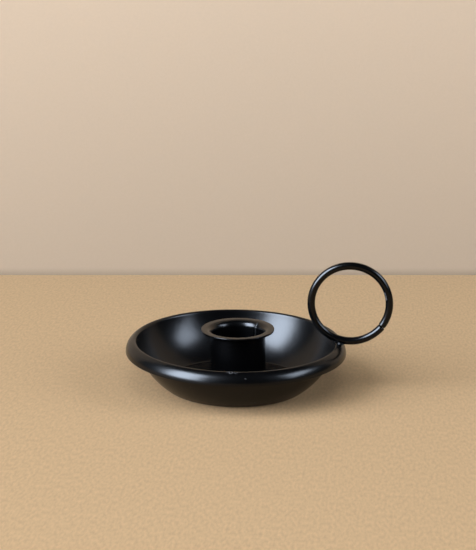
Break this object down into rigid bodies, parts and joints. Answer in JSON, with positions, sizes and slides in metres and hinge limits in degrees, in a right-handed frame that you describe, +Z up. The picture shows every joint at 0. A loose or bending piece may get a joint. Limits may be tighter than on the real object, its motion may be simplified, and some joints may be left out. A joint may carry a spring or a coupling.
{
  "type": "chamberstick",
  "caption": "Low round candle holder in black painted steel: a dished drip pan with a turned-over rim, a flanged candle socket and an upright finger ring welded to the rim.",
  "frame": {"origin": "on the table, under the middle of the dish", "axes": "+Z up along the candle socket's axis, +X towards the finger ring, +Y away from the picture's viewer"},
  "size_m": [0.1203, 0.1, 0.0594],
  "materials": {
    "black_paint": "satin"
  },
  "bodies": {
    "root": {"dish": "black_paint", "candle_socket": "black_paint", "socket_seam_weld": "black_paint", "socket_tack_welds": "black_paint", "finger_ring": "black_paint", "ring_weld": "black_paint"}
  },
  "joints": []
}
